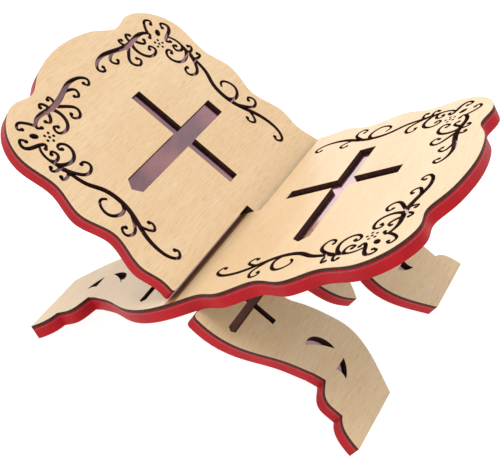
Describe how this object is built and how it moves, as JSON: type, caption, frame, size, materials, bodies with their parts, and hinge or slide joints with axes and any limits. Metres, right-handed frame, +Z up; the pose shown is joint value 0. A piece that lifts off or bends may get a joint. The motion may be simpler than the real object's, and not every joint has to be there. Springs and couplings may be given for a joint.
{
  "type": "folding book stand",
  "caption": "Book stand of two wavy-edged laminated boards that cross in an X through half-width slots, with cross and scroll cut-outs backed by a mirror sheet.",
  "frame": {"origin": "on the table under the middle of the stand, at the bottom centre of its bounding box", "axes": "+Z up; +Y along the line where the boards cross, from the reader's side to the back; +X from the left wing to the right wing"},
  "size_m": [0.302, 0.2091, 0.1727],
  "materials": {
    "beech_veneer": "matt oiled beech veneer with laser-browned edges",
    "tinted_mirror": "red-tinted half-mirror acrylic sheet, mauve where it reflects the room",
    "red_lacquer": "satin red lacquer on fibreboard"
  },
  "bodies": {
    "left_board": {"left_face_panel": "beech_veneer", "left_mirror_liner": "tinted_mirror", "left_core_board": "red_lacquer"},
    "right_board": {"right_face_panel": "beech_veneer", "right_mirror_liner": "tinted_mirror", "right_core_board": "red_lacquer"}
  },
  "joints": [
    {"name": "crossing_fold", "type": "hinge", "parent": "left_board", "child": "right_board", "pos_m": [0, 0, 0.0773], "axis": [0, -1, 0], "range_deg": [0, 54]}
  ]
}
